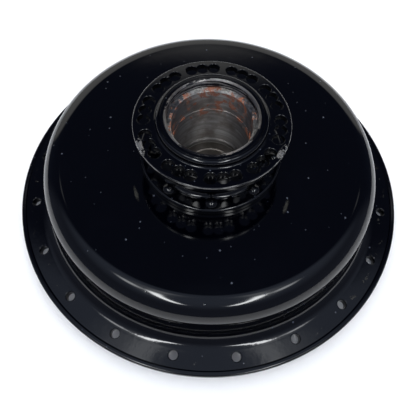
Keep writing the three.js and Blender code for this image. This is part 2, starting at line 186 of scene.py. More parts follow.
def extruded(name, outline, bottom, top):
    """Upright prism of a closed outline of (x, y) points, in mm."""
    count = len(outline)
    verts = [(x * MM, y * MM, z * MM) for z in (bottom, top) for x, y in outline]
    faces = [tuple(reversed(range(count))), tuple(range(count, 2 * count))]
    faces += [(i, (i + 1) % count, count + (i + 1) % count, count + i) for i in range(count)]
    obj = mesh_object(name, verts, faces)
    edit = bmesh.new()
    edit.from_mesh(obj.data)
    bmesh.ops.recalc_face_normals(edit, faces=edit.faces)
    edit.to_mesh(obj.data)
    edit.free()
    return obj


def block(name, low, high):
    (x0, y0, z0), (x1, y1, z1) = low, high
    return extruded(name, [(x0, y0), (x1, y0), (x1, y1), (x0, y1)], z0, z1)


def apply_modifiers(obj):
    bpy.context.view_layer.update()
    evaluated = obj.evaluated_get(bpy.context.evaluated_depsgraph_get())
    mesh = bpy.data.meshes.new_from_object(evaluated)
    obj.modifiers.clear()
    old, obj.data = obj.data, mesh
    bpy.data.meshes.remove(old)


def boolean(obj, tools, operation="DIFFERENCE"):
    """Cuts obj by the tools, or joins them to it, and removes the tools."""
    for tool in tools:
        modifier = obj.modifiers.new("cut", "BOOLEAN")
        modifier.operation = operation
        modifier.solver = "MANIFOLD"
        modifier.object = tool
    apply_modifiers(obj)
    for tool in tools:
        bpy.data.objects.remove(tool)
    return obj


def joined(objects):
    """One mesh object of several that don't touch."""
    edit = bmesh.new()
    for obj in objects:
        obj.data.transform(obj.matrix_world)
        edit.from_mesh(obj.data)
    for obj in objects[1:]:
        bpy.data.objects.remove(obj)
    edit.to_mesh(objects[0].data)
    edit.free()
    objects[0].matrix_world = Matrix.Identity(4)
    return objects[0]


def bevelled(obj, width, segments=3, angle=30):
    modifier = obj.modifiers.new("bevel", "BEVEL")
    modifier.width = width * MM
    modifier.segments = segments
    modifier.limit_method = "ANGLE"
    modifier.angle_limit = math.radians(angle)
    modifier.harden_normals = False
    apply_modifiers(obj)
    return obj


def smooth(obj, crease=CREASE):
    obj.data.shade_smooth()
    obj.data.set_sharp_from_angle(angle=crease)
    return obj


def moved(obj, x=0.0, y=0.0, z=0.0, turn=0.0):
    """Bakes a turn about Z, in degrees, and a shift in mm into the mesh."""
    about_z = Matrix.Rotation(math.radians(turn), 4, "Z")
    obj.data.transform(Matrix.Translation(Vector((x, y, z)) * MM) @ about_z)
    return obj


def on_circle(radius, azimuth):
    """x and y of a point on a circle about the axis, azimuth in degrees from -Y towards +X."""
    a = math.radians(azimuth)
    return radius * math.sin(a), -radius * math.cos(a)


def rod(name, radius, bottom, top, columns=SMALL_COLUMNS, edge=0.0):
    """Upright cylinder on the Z axis, with rounded edges if edge is given."""
    corners = [(0, bottom), (radius, bottom, edge), (radius, top, edge), (0, top)]
    return lathe(name, rounded(corners, closed=False), columns)


def hole_tool(radius, rim, top, bottom, columns=32):
    """Cutter for a hole with rounded edges at both faces, upright on the Z axis."""
    bend = [(radius + rim * (1 - math.cos(math.radians(t))), rim * (1 - math.sin(math.radians(t))))
            for t in range(0, 71, 10)]
    wide = bend[-1][0]
    profile = [(0, bottom - 2), (wide, bottom - 2)]
    profile += [(r, bottom + z) for r, z in reversed(bend)]
    profile += [(r, top - z) for r, z in bend]
    profile += [(wide, top + 2), (0, top + 2)]
    return lathe("tool", profile, columns)


# ------------------------------------------------------------------ material nodes


class Shader:
    """Small helper for building a node material."""

    def __init__(self, name):
        self.material = bpy.data.materials.new(name)
        self.material.use_nodes = True
        self.nodes = self.material.node_tree.nodes
        self.links = self.material.node_tree.links
        self.bsdf = self.nodes["Principled BSDF"]
        self.place = self.add("ShaderNodeTexCoord").outputs["Object"]

    def add(self, kind, **settings):
        node = self.nodes.new(kind)
        for key, value in settings.items():
            setattr(node, key, value)
        return node

    def put(self, socket, value):
        if isinstance(value, bpy.types.NodeSocket):
            self.links.new(value, socket)
        else:
            socket.default_value = value

    def set(self, **values):
        """Sets sockets of the Principled shader: metallic=1 or base_color=socket."""
        for key, value in values.items():
            self.put(self.bsdf.inputs[key.replace("_", " ").title().replace("Ior", "IOR")], value)

    def math(self, operation, a, b=0.0, c=0.0, clamp=False):
        node = self.add("ShaderNodeMath", operation=operation, use_clamp=clamp)
        for socket, value in zip(node.inputs, (a, b, c)):
            self.put(socket, value)
        return node.outputs[0]

    def stretched(self, x=1.0, y=1.0, z=1.0, source=None):
        node = self.add("ShaderNodeMapping")
        self.put(node.inputs["Vector"], source or self.place)
        node.inputs["Scale"].default_value = (x, y, z)
        return node.outputs[0]

    def noise(self, scale, detail=3.0, roughness=0.5, source=None, distortion=0.0):
        node = self.add("ShaderNodeTexNoise")
        self.put(node.inputs["Vector"], source or self.place)
        node.inputs["Scale"].default_value = scale
        node.inputs["Detail"].default_value = detail
        node.inputs["Roughness"].default_value = roughness
        node.inputs["Distortion"].default_value = distortion
        return node.outputs["Fac"]

    def ramp(self, value, low, high, out_low=0.0, out_high=1.0):
        node = self.add("ShaderNodeMapRange", interpolation_type="SMOOTHSTEP")
        for name, put in (("Value", value), ("From Min", low), ("From Max", high),
                          ("To Min", out_low), ("To Max", out_high)):
            self.put(node.inputs[name], put)
        return node.outputs[0]

    def mix(self, factor, a, b):
        node = self.add("ShaderNodeMix", data_type="RGBA")
        self.put(node.inputs["Factor"], factor)
        for socket, value in ((node.inputs[6], a), (node.inputs[7], b)):
            self.put(socket, value if isinstance(value, bpy.types.NodeSocket) else (*value, 1.0))
        return node.outputs[2]

    def blend(self, factor, a, b):
        node = self.add("ShaderNodeMix", data_type="FLOAT")
        for socket, value in zip(node.inputs[:4], (factor, None, a, b)):
            if value is not None:
                self.put(socket, value)
        return node.outputs[0]

    def parts(self):
        node = self.add("ShaderNodeSeparateXYZ")
        self.put(node.inputs[0], self.place)
        return node.outputs

    def radius(self):
        """Distance from the wheel axis, in metres."""
        x, y, _ = self.parts()
        return self.math("SQRT", self.math("ADD", self.math("POWER", x, 2.0), self.math("POWER", y, 2.0)))

    def specks(self, scale, size, share):
        """Sparse round dots, 1 inside a dot."""
        node = self.add("ShaderNodeTexVoronoi", feature="F1")
        self.put(node.inputs["Vector"], self.place)
        node.inputs["Scale"].default_value = scale
        dot = self.ramp(node.outputs["Distance"], size, size * 0.35)
        colour = self.add("ShaderNodeSeparateColor")
        self.put(colour.inputs[0], node.outputs["Color"])
        return self.math("MULTIPLY", dot, self.math("LESS_THAN", colour.outputs[0], share))

    def bump(self, heights):
        """Chains (height socket, distance in mm) bumps into the shader's normal."""
        last = None
        for height, distance in heights:
            node = self.add("ShaderNodeBump")
            node.inputs["Strength"].default_value = 1.0
            node.inputs["Distance"].default_value = distance * MM
            self.put(node.inputs["Height"], height)
            if last is not None:
                self.put(node.inputs["Normal"], last)
            last = node.outputs[0]
        self.put(self.bsdf.inputs["Normal"], last)


def enamel(name="black_enamel", worn=None, flaws=None):
    """High gloss black stoved enamel over steel. worn(shader) gives a 0..1 mask of bare metal."""
    s = Shader(name)
    dust = s.specks(170.0, 0.12, 0.16)
    grit = s.specks(420.0, 0.20, 0.05)
    haze = s.noise(18.0, 4.0, 0.6)
    black = s.mix(s.ramp(haze, 0.45, 0.75), (0.0001, 0.0002, 0.0009), (0.0003, 0.0004, 0.0013))
    black = s.mix(s.math("MAXIMUM", dust, s.math("MULTIPLY", grit, 0.6)), black, (0.050, 0.058, 0.078))
    gloss = s.blend(dust, s.ramp(haze, 0.4, 0.8, 0.06, 0.10), 0.35)
    if worn:
        _, _, z = s.parts()
        wall = s.math("MULTIPLY", s.ramp(z, 0.07255, 0.0728), s.ramp(z, 0.0754, 0.0751))
        wall = s.math("MULTIPLY", wall, s.ramp(s.radius(), 0.0388, 0.0384))
        gloss = s.blend(wall, gloss, 0.5)
    if flaws:
        thin = flaws(s)
        black = s.mix(thin, black, (0.020, 0.019, 0.015))
        gloss = s.blend(thin, gloss, 0.5)
    if worn:
        bare = worn(s)
        steel = s.mix(s.noise(900.0), (0.36, 0.35, 0.33), (0.55, 0.54, 0.52))
        s.set(metallic=bare, base_color=s.mix(bare, black, steel), roughness=s.blend(bare, gloss, 0.34))
    else:
        s.set(metallic=0.0, base_color=black, roughness=gloss)
    s.set(ior=1.5)
    rim = s.ramp(s.radius(), 0.093, 0.101)
    runs = s.math("MULTIPLY", rim, s.noise(95.0, 3.0, 0.55))
    grain = s.math("MULTIPLY", rim, s.noise(480.0, 3.0, 0.6))
    s.bump([(s.noise(11.0, 2.0, 0.4), 0.12), (s.noise(170.0, 2.0, 0.5), 0.007),
            (runs, 0.06), (grain, 0.016), (dust, 0.06), (grit, 0.035)])
    return s.material


def thin_paint(s):
    """Two long dull smudges on the top of the drum, in front of the nose, and scuffs round the flange."""
    x, y, _ = s.parts()
    out = None
    for at_x, at_y, lean in ((-0.0385, -0.0285, 0.35), (0.0405, -0.0325, -0.30)):
        across = s.math("ADD", s.math("SUBTRACT", x, at_x),
                        s.math("MULTIPLY", s.math("SUBTRACT", y, at_y), lean))
        far = s.math("ADD", s.math("POWER", s.math("DIVIDE", across, 0.0013), 2.0),
                     s.math("POWER", s.math("DIVIDE", s.math("SUBTRACT", y, at_y), 0.0052), 2.0))
        mark = s.ramp(s.math("ADD", far, s.math("MULTIPLY", s.noise(420.0, 4.0, 0.7), 1.2)), 1.6, 0.5)
        out = mark if out is None else s.math("MAXIMUM", out, mark)
    band = s.math("MULTIPLY", s.ramp(s.radius(), 0.1035, 0.1045), s.ramp(s.radius(), 0.1095, 0.1075))
    scuff = s.math("MULTIPLY", band, s.ramp(s.noise(150.0, 5.0, 0.7), 0.60, 0.66))
    return s.math("MAXIMUM", s.math("MULTIPLY", out, 0.8), scuff)


def edge_chips(s):
    """Bare metal at a chip on each side of the nose flange, and a thin worn line on its top edge."""
    x, y, z = s.parts()
    r = s.radius()
    sideways = s.math("SUBTRACT", s.math("ABSOLUTE", x), 0.0355)
    far = s.math("SQRT", s.math("ADD", s.math("POWER", sideways, 2.0),
                                s.math("POWER", s.math("ADD", y, 0.0185), 2.0)))
    near = s.ramp(s.math("ADD", far, s.math("MULTIPLY", s.noise(260.0, 4.0, 0.7), 0.010)), 0.0100, 0.0075)
    flange = s.math("MULTIPLY", s.ramp(r, 0.0370, 0.0385), s.ramp(z, 0.0716, 0.0722))
    chips = s.math("MULTIPLY", s.math("MULTIPLY", near, flange),
                   s.ramp(s.noise(330.0, 5.0, 0.75), 0.46, 0.52))
    edge = s.math("MULTIPLY", s.ramp(r, 0.0399, 0.0401), s.ramp(z, 0.0753, 0.0755))
    thin = s.math("MULTIPLY", edge, s.ramp(s.noise(90.0, 4.0, 0.6), 0.42, 0.62))
    return s.math("MAXIMUM", chips, s.math("MULTIPLY", thin, 0.5))


def bore_steel():
    """Turned bare steel: fine tool lines, rust round the bearing seat, paint run into the thread, painted
    shade on the lip deep down the bore and a painted highlight on the upward shoulder face.
    """
    s = Shader("turned_bore_steel")
    _, _, z = s.parts()
    lines = s.noise(1.0, 3.0, 0.6, s.stretched(10.0, 10.0, 3400.0))
    broad = s.noise(1.0, 3.0, 0.6, s.stretched(16.0, 16.0, 520.0))
    blotch = s.noise(80.0, 5.0, 0.65)
    pits = s.noise(620.0, 4.0, 0.7)
    steel = s.mix(s.ramp(broad, 0.35, 0.7), (0.29, 0.275, 0.26), (0.49, 0.475, 0.46))
    steel = s.mix(s.ramp(blotch, 0.42, 0.72), steel, (0.20, 0.17, 0.15))
    # Painted shade: the lip deep down the bore is coloured darker than the rest of the same steel.
    lip = s.math("MULTIPLY", s.ramp(z, 0.0300, 0.0306), s.ramp(z, 0.0336, 0.0326))
    steel = s.mix(lip, steel, (0.16, 0.15, 0.14))
    # Painted highlight: the shoulder face that looks up is coloured lighter than the rest of the same steel,
    # for the light it catches.
    face = s.math("MULTIPLY", s.ramp(z, 0.07262, 0.07290), s.ramp(z, 0.07335, 0.07310))
    steel = s.mix(face, steel, s.mix(s.ramp(pits, 0.4, 0.62), (0.30, 0.29, 0.27), (0.66, 0.65, 0.62)))
    in_seat = s.math("MULTIPLY", s.ramp(z, 0.050, 0.057), s.ramp(z, 0.0755, 0.0735))
    spread = s.noise(150.0, 6.0, 0.72, distortion=0.4)
    rust = s.math("MULTIPLY", s.ramp(spread, s.blend(in_seat, 0.70, 0.52), s.blend(in_seat, 0.76, 0.57)), 0.9)
    orange = s.mix(s.noise(420.0, 3.0, 0.7), (0.16, 0.045, 0.02), (0.38, 0.12, 0.05))
    at_mouth = s.ramp(z, 0.07315, 0.0734)
    bare_patch = s.noise(1.0, 4.0, 0.65, s.stretched(55.0, 55.0, 900.0))
    paint = s.math("MULTIPLY", at_mouth, s.ramp(bare_patch, 0.53, 0.47))
    colour = s.mix(rust, steel, orange)
    colour = s.mix(paint, colour, (0.0012, 0.0015, 0.003))
    cover = s.math("MAXIMUM", rust, paint)
    rough = s.ramp(broad, 0.3, 0.8, 0.46, 0.54)
    s.set(base_color=colour, metallic=s.math("SUBTRACT", 1.0, cover, clamp=True),
          roughness=s.blend(paint, s.blend(rust, rough, 0.85), 0.12), anisotropic=0.9,
          anisotropic_rotation=0.25)
    tangent = s.add("ShaderNodeTangent", direction_type="RADIAL", axis="Z")
    s.put(s.bsdf.inputs["Tangent"], tangent.outputs[0])
    s.bump([(lines, 0.0035), (s.math("MULTIPLY", rust, spread), 0.12), (pits, 0.006)])
    return s.material


def turned_metal(name, dark, light, roughness=0.32, ring_scale=1500.0):
    """Machined metal with rings round the axis of the hub."""
    s = Shader(name)
    _, _, z = s.parts()
    place = s.add("ShaderNodeCombineXYZ")
    s.put(place.inputs[0], s.math("MULTIPLY", s.radius(), ring_scale))
    s.put(place.inputs[2], s.math("MULTIPLY", z, ring_scale))
    rings = s.noise(1.0, 3.0, 0.6, place.outputs[0])
    smudge = s.noise(60.0, 4.0, 0.6)
    s.set(base_color=s.mix(s.ramp(smudge, 0.35, 0.7), dark, light), metallic=1.0,
          roughness=s.ramp(s.math("ADD", rings, smudge), 0.7, 1.3, roughness * 0.75, roughness * 1.3))
    s.bump([(rings, 0.01), (s.noise(700.0), 0.004)])
    return s.material


def cast_alloy():
    """Sand-cast aluminium: pebbled skin with a grey bloom, brighter where it is machined near the axis."""
    s = Shader("cast_alloy")
    pebble = s.noise(900.0, 4.0, 0.6)
    bloom = s.noise(45.0, 5.0, 0.6)
    colour = s.mix(s.ramp(bloom, 0.35, 0.7), (0.30, 0.305, 0.31), (0.50, 0.505, 0.51))
    grime = s.math("MULTIPLY", s.ramp(s.noise(140.0, 5.0, 0.7), 0.55, 0.75), 0.6)
    s.set(base_color=s.mix(grime, colour, (0.10, 0.09, 0.08)), metallic=0.85,
          roughness=s.ramp(pebble, 0.3, 0.7, 0.42, 0.62))
    s.bump([(pebble, 0.08), (bloom, 0.10)])
    return s.material


def friction_material():
    """Woven brake lining with brassy flecks."""
    s = Shader("brake_lining")
    flecks = s.specks(700.0, 0.3, 0.4)
    grain = s.noise(500.0, 5.0, 0.7)
    colour = s.mix(s.ramp(grain, 0.4, 0.65), (0.05, 0.042, 0.034), (0.12, 0.095, 0.07))
    s.set(base_color=s.mix(flecks, colour, (0.30, 0.20, 0.08)), roughness=0.88, metallic=0.0)
    s.bump([(grain, 0.06), (flecks, 0.02)])
    return s.material


def felt():
    """Oil-soaked wool felt."""
    s = Shader("wool_felt")
    fibres = s.noise(1500.0, 6.0, 0.75, s.stretched(1, 1, 0.3))
    s.set(base_color=s.mix(fibres, (0.16, 0.14, 0.10), (0.42, 0.38, 0.28)), roughness=1.0, metallic=0.0)
    s.bump([(fibres, 0.15)])
    return s.material


def floor_material():
    """Pale floor that only shows from above, so that it never hides the hub's underside."""
    s = Shader("pale_floor")
    tone = s.noise(2.0, 2.0, 0.5)
    below = s.add("ShaderNodeNewGeometry").outputs["Backfacing"]
    s.set(base_color=s.mix(tone, (0.84, 0.84, 0.845), (0.86, 0.86, 0.86)), roughness=0.6,
          alpha=s.math("SUBTRACT", 1.0, below))
    return s.material


ENAMEL = enamel()
DRUM_ENAMEL = enamel("drum_enamel", flaws=thin_paint)
NOSE_ENAMEL = enamel("nose_enamel", edge_chips)
BORE = bore_steel()
STEEL = turned_metal("bare_steel", (0.24, 0.235, 0.225), (0.46, 0.45, 0.44))
POLISHED = turned_metal("bearing_steel", (0.42, 0.42, 0.43), (0.62, 0.62, 0.63), 0.14)
PLATED = turned_metal("plated_steel", (0.085, 0.075, 0.065), (0.17, 0.155, 0.14), 0.5)
BLACKED = turned_metal("dark_steel", (0.045, 0.045, 0.05), (0.11, 0.11, 0.115), 0.42)
BRONZE = turned_metal("bronze", (0.26, 0.14, 0.05), (0.46, 0.28, 0.12), 0.3)
BRASS = turned_metal("brass", (0.42, 0.29, 0.10), (0.62, 0.46, 0.19), 0.25)
ALLOY = cast_alloy()
LINING = friction_material()
FELT = felt()


def finish(obj, material, node):
    """Gives a finished piece its material and body, and hides the CAD node it stands for."""
    obj.data.materials.clear()
    obj.data.materials.append(material)
    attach(obj, BODY_OF[node])
    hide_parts(node)
    return obj


# ------------------------------------------------------------------ drum and its flange


def drum():
    """Drum, round shoulder, dished top and drilled spoke flange, as one painted shell."""
    foot_z = FLANGE_Z + FOOT_RISE
    lip_in = FLANGE_R - LIP_WIDTH
    slope = (foot_z - FLANGE_Z - 0.4) / (lip_in - WALL_R - FILLET)
    dish = [(r, CREST_Z - 0.004 - (WALL_R - SHOULDER - r) * (CREST_Z - TOP_Z) / (WALL_R - SHOULDER - 42))
            for r in np.linspace(WALL_R - SHOULDER - 0.35, 42, 12)]
    profile = rounded([
        (MOUTH_R, RIM_Z, 0.5), (WALL_R + LIP_WIDTH, RIM_Z, 0.9), (WALL_R + LIP_WIDTH, FLANGE_UNDER_Z, 2.0),
        (FLANGE_R, FLANGE_UNDER_Z, 1.7), (FLANGE_R, FLANGE_Z + 0.95, 1.1),
        (lip_in + 0.3, FLANGE_Z + 0.95, 0.6),
        (lip_in, FLANGE_Z + 0.4, 0.35), (WALL_R + FILLET, foot_z)], closed=False)
    profile += [(WALL_R + FILLET + FILLET * math.cos(math.radians(a)),
                 foot_z + FILLET + FILLET * math.sin(math.radians(a))) for a in range(266, 179, -4)]
    profile += [(WALL_R - SHOULDER + SHOULDER * math.cos(math.radians(a)),
                 CREST_Z - SHOULDER + SHOULDER * math.sin(math.radians(a))) for a in range(0, 91, 3)]
    profile += dish
    profile += rounded([(40, TOP_Z), (BARREL_R + 0.3, TOP_Z), (BARREL_R + 0.3, CEILING_Z),
                        (TRACK_R, CEILING_Z, 5.5), (TRACK_R, 17.3, 0.4), (MOUTH_R, 15.6, 0.4),
                        (MOUTH_R, 1.0)], closed=False)
    obj = lathe("painted_drum", profile, DRUM_COLUMNS)
    tools = []
    tilt = math.degrees(math.atan(slope))
    for i in range(SPOKES["count"]):
        azimuth = SPOKES["phase"] + i * 360 / SPOKES["count"]
        top = FLANGE_Z + 0.4 + slope * (lip_in - SPOKES["pitch_r"])
        tool = hole_tool(SPOKES["hole_r"], 0.55, 0.0, FLANGE_UNDER_Z - top)
        tool.data.transform(Matrix.Rotation(math.radians(tilt), 4, "X"))
        tool.data.transform(Matrix.Translation((0, -SPOKES["pitch_r"] * MM, top * MM)))
        tools.append(moved(tool, turn=azimuth))
    boolean(obj, [joined(tools)])
    smooth(obj)
    return finish(obj, DRUM_ENAMEL, "drum_shell")


# ------------------------------------------------------------------ nose barrel


def nose_barrel():
    """Painted outside of the barrel: lower ring, waist, drilled spoke flange and boss."""
    top, bottom = NOSE_FLANGE["top"], NOSE_FLANGE["bottom"]
    profile = rounded([
        (BARREL_R, BARREL_END_Z, 0.5), (BARREL_R, RING["bottom"] + 0.05),
        (RING["r"], RING["bottom"] + 0.05, 0.5),
        (RING["r"], RING["top"], 1.2), (NECK_R, RING["top"], 3.0), (NECK_R, bottom, 6.0),
        (NOSE_R, bottom, 0.9), (NOSE_R, top, 0.8), (BOSS_R, top, 1.2), (BOSS_R, NOSE_Z, 1.9),
        (26.75, NOSE_Z, 0.15), (26.45, NOSE_Z - 0.35, 0.1), (26.15, NOSE_Z, 0.15),
        (BORE_SKIN_R + 0.05, NOSE_Z, 0.15), (BORE_SKIN_R + 0.05, BARREL_END_Z)])
    obj = lathe("painted_barrel", profile, BARREL_COLUMNS)
    tools = []
    for group in range(NOSE_SPOKES["groups"]):
        for side in (-1, 0, 1):
            azimuth = NOSE_SPOKES["phase"] + group * 360 / NOSE_SPOKES["groups"]
            azimuth += side * NOSE_SPOKES["spread"]
            tool = hole_tool(NOSE_SPOKES["hole_r"], 0.5, top, bottom)
            x, y = on_circle(NOSE_SPOKES["pitch_r"], azimuth)
            tools.append(moved(tool, x, y))
    boolean(obj, tools)
    smooth(obj)
    return finish(obj, NOSE_ENAMEL, "nose_barrel")


def nose_bore():
    """Bare inside of the barrel: threaded mouth, relief groove, shoulder, bearing seat, tube and lip."""
    pitch, depth = 1.0, 0.3
    thread_top, thread_bottom = NOSE_Z - 0.5, MOUTH["thread_bottom"]
    rows = [(MOUTH["thread_r"], z) for z in np.arange(thread_top, thread_bottom, -pitch / 8)]
    outside = rounded([(BORE_SKIN_R, BARREL_END_Z + 0.1), (BORE_SKIN_R, NOSE_Z - 0.02, 0.1),
                       (MOUTH["r"], NOSE_Z - 0.02, 0.2), (MOUTH["thread_r"], thread_top + 0.1)], closed=False)
    inside = rounded([
        (MOUTH["thread_r"], thread_bottom), (MOUTH["groove_r"], 74.4, 0.2),
        (MOUTH["groove_r"], MOUTH["shoulder_z"], 0.25), (SEAT["r"] + 0.35, MOUTH["shoulder_z"], 0.1),
        (SEAT["r"], MOUTH["shoulder_z"] - 0.35, 0.1), (SEAT["r"], SEAT["bottom"] + 0.5, 0.1),
        (SEAT["r"] + 0.3, SEAT["bottom"] + 0.4, 0.1), (SEAT["r"] + 0.3, SEAT["bottom"] - 0.1, 0.1),
        (SEAT["tube_r"], SEAT["bottom"] - 0.2, 0.06), (SEAT["tube_r"], SEAT["lip_top"] + 0.5, 0.2),
        (SEAT["lip_r"], SEAT["lip_top"] + 0.2, 0.25), (SEAT["lip_r"], SEAT["lip_under"], 0.2),
        (21.3, SEAT["lip_under"], 0.1), (21.3, 15.85), (22.2, 15.85), (22.2, BARREL_END_Z + 0.1, 0.3),
        (BORE_SKIN_R - 0.5, BARREL_END_Z + 0.1)], closed=False)
    profile = outside + rows + inside

    def thread(r, z, azimuth):
        turn = z / pitch + azimuth / (2 * math.pi)
        wave = np.abs((turn % 1.0) * 2 - 1)
        fade = np.clip((thread_top - z) / 0.4, 0, 1) * np.clip((z - thread_bottom) / 0.2, 0, 1)
        cut = np.where(np.abs(r - MOUTH["thread_r"]) < 1e-6, depth * wave * fade, 0.0)
        return r + cut, z

    obj = smooth(lathe("turned_bore", profile, BARREL_COLUMNS, thread), math.radians(40))
    return finish(obj, BORE, "nose_barrel")


def rivets():
    """Round-headed rivets through the lower ring, each upset under the drum's ceiling."""
    r, h = RIVETS["head_r"], RIVETS["head_h"]
    over, under = RING["top"] + 0.05, CEILING_Z - 0.05
    dome = [(r * math.sin(math.radians(a)), over + h * math.cos(math.radians(a)) ** 1.15)
            for a in range(84, -1, -7)]
    profile = [(0, under - 1.7), (2.2, under - 1.7), (3.0, under - 1.1), (3.1, under), (2.0, under),
               (2.0, over), (r, over)] + dome[:-1] + [(0, over + h)]
    for i in range(RIVETS["count"]):
        obj = lathe(f"rivet_{i + 1}", profile, 40)
        x, y = on_circle(RIVETS["pitch_r"], RIVETS["phase"] + i * 360 / RIVETS["count"])
        smooth(moved(obj, x, y), math.radians(40))
        finish(obj, ENAMEL, f"barrel_rivet_{i + 1}")


# ------------------------------------------------------------------ bearing


def bearing():
    """Drum-side ball bearing with its cage, grease retainer, lock ring and felt seal."""
    pitch_r, ball_r, middle = BALLS["pitch_r"], BALLS["r"], BALLS["middle"]
    ball_profile = [(0, -ball_r)] + [(ball_r * math.sin(a), -ball_r * math.cos(a))
                                     for a in np.linspace(0, math.pi, 25)[1:-1]] + [(0, ball_r)]
    groove_r = ball_r + 0.12

    def groove(start, end):
        """Arc of the ball track between two angles of its section."""
        steps = 14
        return [(pitch_r + groove_r * math.cos(math.radians(start + (end - start) * i / steps)),
                 middle + groove_r * math.sin(math.radians(start + (end - start) * i / steps)))
                for i in range(steps + 1)]

    outer = rounded([(17.6, 28, 0.3), (17.6, 25.2)], closed=False) + groove(48, -48)
    outer += rounded([(17.6, 18.8), (17.6, 16, 0.3), (21, 16, 0.8), (21, 28, 0.8)], closed=False)
    inner = rounded([(10.1, 28, 0.6), (10.1, 16, 0.6), (13.3, 16, 0.3), (13.3, 18.9)], closed=False)
    inner += groove(228, 132) + [(13.3, 25.1), (13.3, 28)]
    finish(smooth(lathe("outer_race", outer, 160)), POLISHED, "bearing_outer_race")
    finish(smooth(lathe("inner_race", inner, 128)), POLISHED, "bearing_inner_race")

    cage = lathe("ball_cage", rounded([(14.5, 17.6, 0.3), (16.5, 17.6, 0.3), (16.5, 26.4, 0.3),
                                       (14.5, 26.4, 0.3)]), 144)
    pockets = []
    for i in range(BALLS["count"]):
        azimuth = i * 360 / BALLS["count"]
        pocket = rod("pocket", ball_r + 0.15, -5, 5, 40)
        pocket.data.transform(Matrix.Rotation(math.pi / 2, 4, "X"))
        pockets.append(moved(moved(pocket, 0, -pitch_r, middle), turn=azimuth))
        ball = lathe(f"ball_{i + 1}", ball_profile, 48)
        x, y = on_circle(pitch_r, azimuth)
        finish(smooth(moved(ball, x, y, middle), math.radians(60)), POLISHED, f"bearing_ball_{i + 1}")
    boolean(cage, pockets)
    finish(smooth(cage), BRASS, "bearing_cage")

    shield = rounded([(11, 28.35, 0.1), (14.6, 28.35, 0.8), (15.4, 28.75, 0.8), (20.7, 28.75, 0.1),
                      (20.7, 29.35, 0.1), (15.2, 29.35, 0.8), (14.4, 28.95, 0.8), (11, 28.95, 0.1)])
    finish(smooth(lathe("retainer_disc", shield, 160)), PLATED, "grease_retainer")

    ring = lathe("lock_ring", rounded([(13.2, 11.2, 0.3), (22.0, 11.2, 0.4), (22.0, 15.7, 0.3),
                                       (16.3, 15.7, 0.2), (16.3, 12.2, 0.2), (13.2, 12.2, 0.2)]), 160)
    holes = [moved(rod("hole", 1.4, 10, 14, 24), *on_circle(18.6, a)) for a in (45, 135, 225, 315)]
    boolean(ring, holes)
    finish(smooth(ring), BLACKED, "bearing_lock_ring")
    pad = rounded([(12.8, 12.4, 0.5), (16.1, 12.4, 0.4), (16.1, 15.5, 0.6), (12.8, 15.5, 0.8)])
    finish(smooth(lathe("felt_ring", pad, 120)), FELT, "felt_seal")


# ------------------------------------------------------------------ brake plate and its hardware


def hex_nut(name, corner_r, bore_r, bottom, top, x=0.0, y=0.0, turn=0.0):
    """Hexagon nut with a chamfered crown at each face and a chamfered bore."""
    crown = lathe(name, rounded([
        (0, bottom), (corner_r * 0.86, bottom), (corner_r + 0.3, bottom + corner_r * 0.1),
        (corner_r + 0.3, top - corner_r * 0.1), (corner_r * 0.86, top), (0, top)], closed=False), 96)
    outline = [on_circle(corner_r, a) for a in range(0, 360, 60)]
    boolean(crown, [extruded("hex", outline, bottom - 1, top + 1)], "INTERSECT")
    bore = lathe("bore", [(0, bottom - 1), (bore_r + 1.4, bottom - 1), (bore_r, bottom + 0.4),
                          (bore_r, top - 0.4), (bore_r + 1.4, top + 1), (0, top + 1)], 64)
    boolean(crown, [bore])
    return moved(smooth(bevelled(crown, 0.12, 2, 25), math.radians(30)), x, y, turn=turn)


def threaded(radius, bottom, top, pitch=1.25, depth=0.55):
    """Rows and bend of a helical thread on a lathe of this radius between two heights."""
    rows = [(radius, z) for z in np.arange(bottom, top, pitch / 8)]

    def bend(r, z, azimuth):
        wave = np.abs(((z / pitch + azimuth / (2 * math.pi)) % 1.0) * 2 - 1)
        fade = np.clip((z - bottom) / 0.6, 0, 1) * np.clip((top - z) / 0.6, 0, 1)
        inside = (np.abs(r - radius) < 1e-6) & (z >= bottom - 1e-6) & (z <= top + 1e-6)
        return np.where(inside, r - depth * wave * fade, r), z

    return rows, bend


